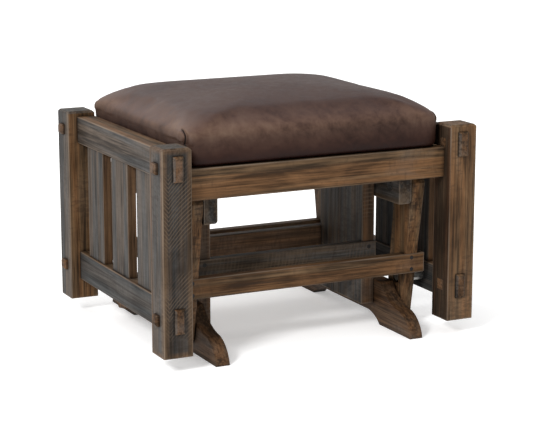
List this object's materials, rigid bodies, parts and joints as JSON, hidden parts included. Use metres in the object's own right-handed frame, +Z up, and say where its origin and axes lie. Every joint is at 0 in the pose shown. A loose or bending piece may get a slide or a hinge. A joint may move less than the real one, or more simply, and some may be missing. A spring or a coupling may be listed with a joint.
{
  "type": "glider ottoman",
  "caption": "Rustic wooden ottoman: a crowned leather cushion on a slatted, pegged frame that glides on swing arms above a footed base.",
  "frame": {"origin": "on the floor under the middle of the ottoman", "axes": "+X to the right seen from the front, +Y to the rear along the glide, +Z up"},
  "size_m": [0.629, 0.518, 0.444],
  "materials": {
    "leather": "soft dark brown leather, semi-matt",
    "post_wood": "rustic brown-stained hardwood, satin",
    "side_rail_wood": "rustic brown-stained hardwood, satin",
    "slat_wood": "grey-brown stained hardwood, satin",
    "end_rail_wood": "warm brown stained hardwood, satin",
    "cleat_wood": "plain sawn softwood",
    "deck_plywood": "plain plywood",
    "peg_wood": "warm brown stained hardwood, satin",
    "foot_wood": "dark grey-brown stained hardwood, satin",
    "bar_wood": "dark grey-brown stained hardwood, satin",
    "upright_wood": "dark grey-brown stained hardwood, satin",
    "grey_stretcher_wood": "charcoal stained hardwood, satin",
    "brown_stretcher_wood": "warm brown stained hardwood, satin",
    "arm_wood": "brown stained hardwood, satin",
    "dark_screw_steel": "black oxide steel, satin",
    "zinc_steel": "zinc-plated steel, satin",
    "bush_nylon": "plain nylon, matt"
  },
  "bodies": {
    "base": {"base_stretcher_front": "grey_stretcher_wood", "base_stretcher_rear": "brown_stretcher_wood", "base_stretcher_screws": "dark_screw_steel", "bearing_bar_left": "bar_wood", "bearing_bar_right": "bar_wood", "foot_left": "foot_wood", "foot_right": "foot_wood", "upper_pivot_bolts": "zinc_steel", "upper_pivot_nuts": "zinc_steel", "upper_pivot_plugs": "peg_wood", "upper_pivot_washers": "zinc_steel", "upright_left": "upright_wood", "upright_right": "upright_wood", "upright_screws": "dark_screw_steel"},
    "front_arms": {"arm_front_right": "arm_wood", "arm_front_left": "arm_wood", "arm_stretcher_front": "brown_stretcher_wood", "arm_screws_front": "dark_screw_steel", "upper_bushes_front": "bush_nylon", "lower_bushes_front": "bush_nylon"},
    "rear_arms": {"arm_rear_right": "arm_wood", "arm_rear_left": "arm_wood", "arm_stretcher_rear": "brown_stretcher_wood", "arm_screws_rear": "dark_screw_steel", "upper_bushes_rear": "bush_nylon", "lower_bushes_rear": "bush_nylon"},
    "seat": {"cushion": "leather", "deck_cleat_front": "cleat_wood", "deck_cleat_rear": "cleat_wood", "deck_screws": "dark_screw_steel", "end_rail_front": "end_rail_wood", "end_rail_rear": "end_rail_wood", "lower_pivot_bolts": "zinc_steel", "lower_pivot_inserts": "zinc_steel", "lower_pivot_spacers": "zinc_steel", "post_front_left": "post_wood", "post_front_right": "post_wood", "post_rear_left": "post_wood", "post_rear_right": "post_wood", "seat_deck": "deck_plywood", "side_rail_lower_left": "side_rail_wood", "side_rail_lower_right": "side_rail_wood", "side_rail_upper_left": "side_rail_wood", "side_rail_upper_right": "side_rail_wood", "slat_left_1": "slat_wood", "slat_left_2": "slat_wood", "slat_left_3": "slat_wood", "slat_right_1": "slat_wood", "slat_right_2": "slat_wood", "slat_right_3": "slat_wood", "tenon_pegs": "peg_wood"}
  },
  "joints": [
    {"name": "front_arms_swing", "type": "hinge", "parent": "base", "child": "front_arms", "pos_m": [0, -0.162, 0.272], "axis": [1, 0, 0], "range_deg": [-12, 12]},
    {"name": "rear_arms_swing", "type": "hinge", "parent": "base", "child": "rear_arms", "pos_m": [0, 0.162, 0.272], "axis": [1, 0, 0], "range_deg": [-12, 12]},
    {"name": "seat_tilt", "type": "hinge", "parent": "front_arms", "child": "seat", "pos_m": [0, -0.142, 0.092], "axis": [1, 0, 0], "range_deg": [-13.8, 13.8]}
  ],
  "couplings": [
    {"joint": "rear_arms_swing", "follows": "front_arms_swing", "ratio": 1},
    {"joint": "seat_tilt", "follows": "front_arms_swing", "ratio": -1.1408}
  ]
}
